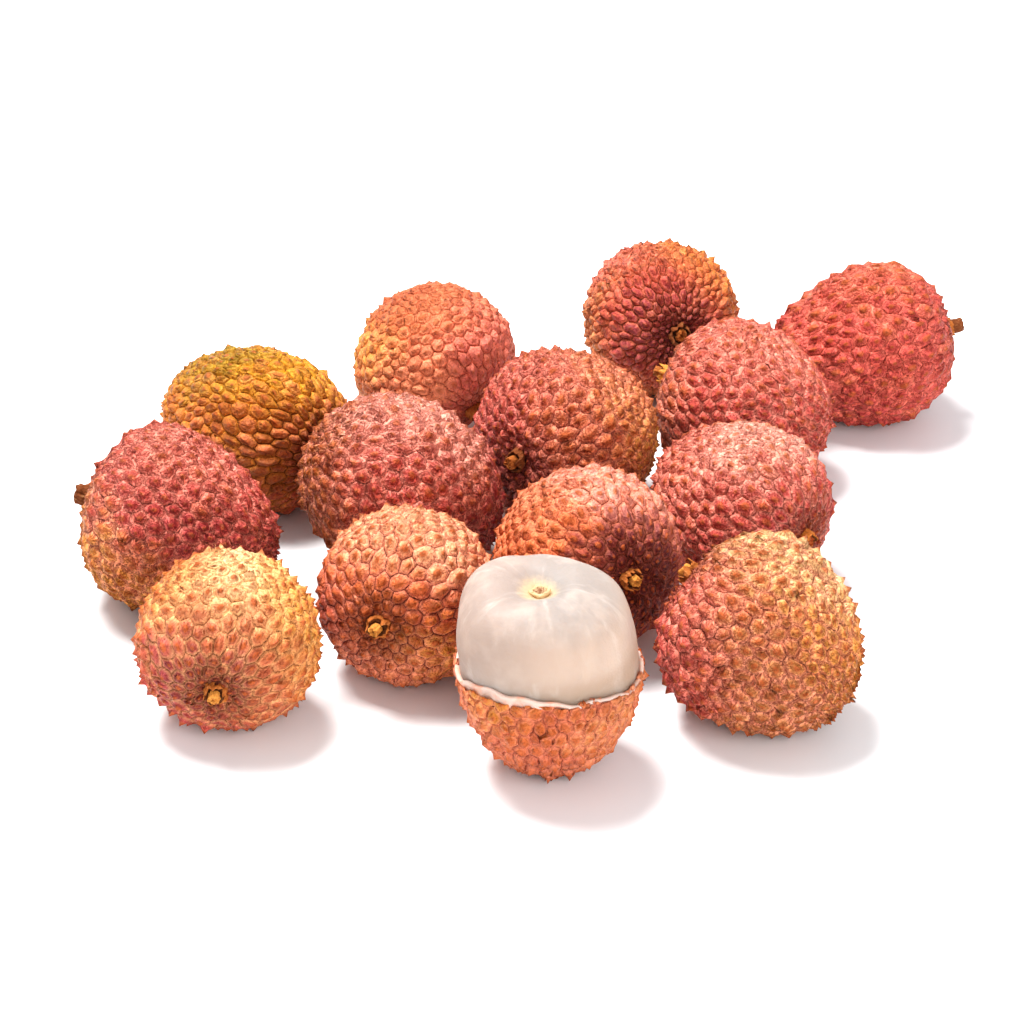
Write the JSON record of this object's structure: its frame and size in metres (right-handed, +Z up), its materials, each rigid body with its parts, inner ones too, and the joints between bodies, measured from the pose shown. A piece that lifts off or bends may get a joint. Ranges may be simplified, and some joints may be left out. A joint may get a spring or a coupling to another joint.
{
  "type": "bunch of lychees",
  "caption": "Loose bunch of ripe lychees lying on a flat surface, with rough red and gold skins and one fruit half peeled to its white flesh.",
  "frame": {"origin": "middle of the bunch's footprint, on the surface that it lies on", "axes": "+Z up from the surface, -Y the side of the half-peeled fruit, +X to the right when seen from that side"},
  "size_m": [0.1868, 0.1874, 0.0408],
  "materials": {
    "skin_front_left": "dry, rough, thorny fruit skin",
    "skin_far_left": "dry, rough, thorny fruit skin",
    "skin_back_left": "dry, rough, thorny fruit skin",
    "skin_mid_left": "dry, rough, thorny fruit skin",
    "skin_back_middle": "dry, rough, thorny fruit skin",
    "skin_front_middle": "dry, rough, thorny fruit skin",
    "skin_centre": "dry, rough, thorny fruit skin",
    "skin_behind_peeled": "dry, rough, thorny fruit skin",
    "skin_far_back": "dry, rough, thorny fruit skin",
    "skin_back_right": "dry, rough, thorny fruit skin",
    "skin_far_right": "dry, rough, thorny fruit skin",
    "skin_mid_right": "dry, rough, thorny fruit skin",
    "skin_front_right": "dry, rough, thorny fruit skin",
    "stem": "dry woody stalk, snapped off",
    "shell": "dry, rough, thorny fruit skin with a torn rim",
    "flesh": "moist, translucent white flesh",
    "scar": "dry stalk scar"
  },
  "bodies": {
    "root": {"lychee_front_left": "skin_front_left", "lychee_far_left": "skin_far_left", "lychee_back_left": "skin_back_left", "lychee_mid_left": "skin_mid_left", "lychee_back_middle": "skin_back_middle", "lychee_front_middle": "skin_front_middle", "lychee_centre": "skin_centre", "lychee_behind_peeled": "skin_behind_peeled", "lychee_far_back": "skin_far_back", "lychee_back_right": "skin_back_right", "lychee_far_right": "skin_far_right", "lychee_mid_right": "skin_mid_right", "lychee_front_right": "skin_front_right", "stem_front_left": "stem", "stem_far_left": "stem", "stem_back_left": "stem", "stem_mid_left": "stem", "stem_back_middle": "stem", "stem_front_middle": "stem", "stem_centre": "stem", "stem_behind_peeled": "stem", "stem_far_back": "stem", "stem_back_right": "stem", "stem_far_right": "stem", "stem_mid_right": "stem", "stem_front_right": "stem", "peeled_shell": "shell", "peeled_flesh": "flesh", "peeled_scar": "scar"}
  },
  "joints": []
}
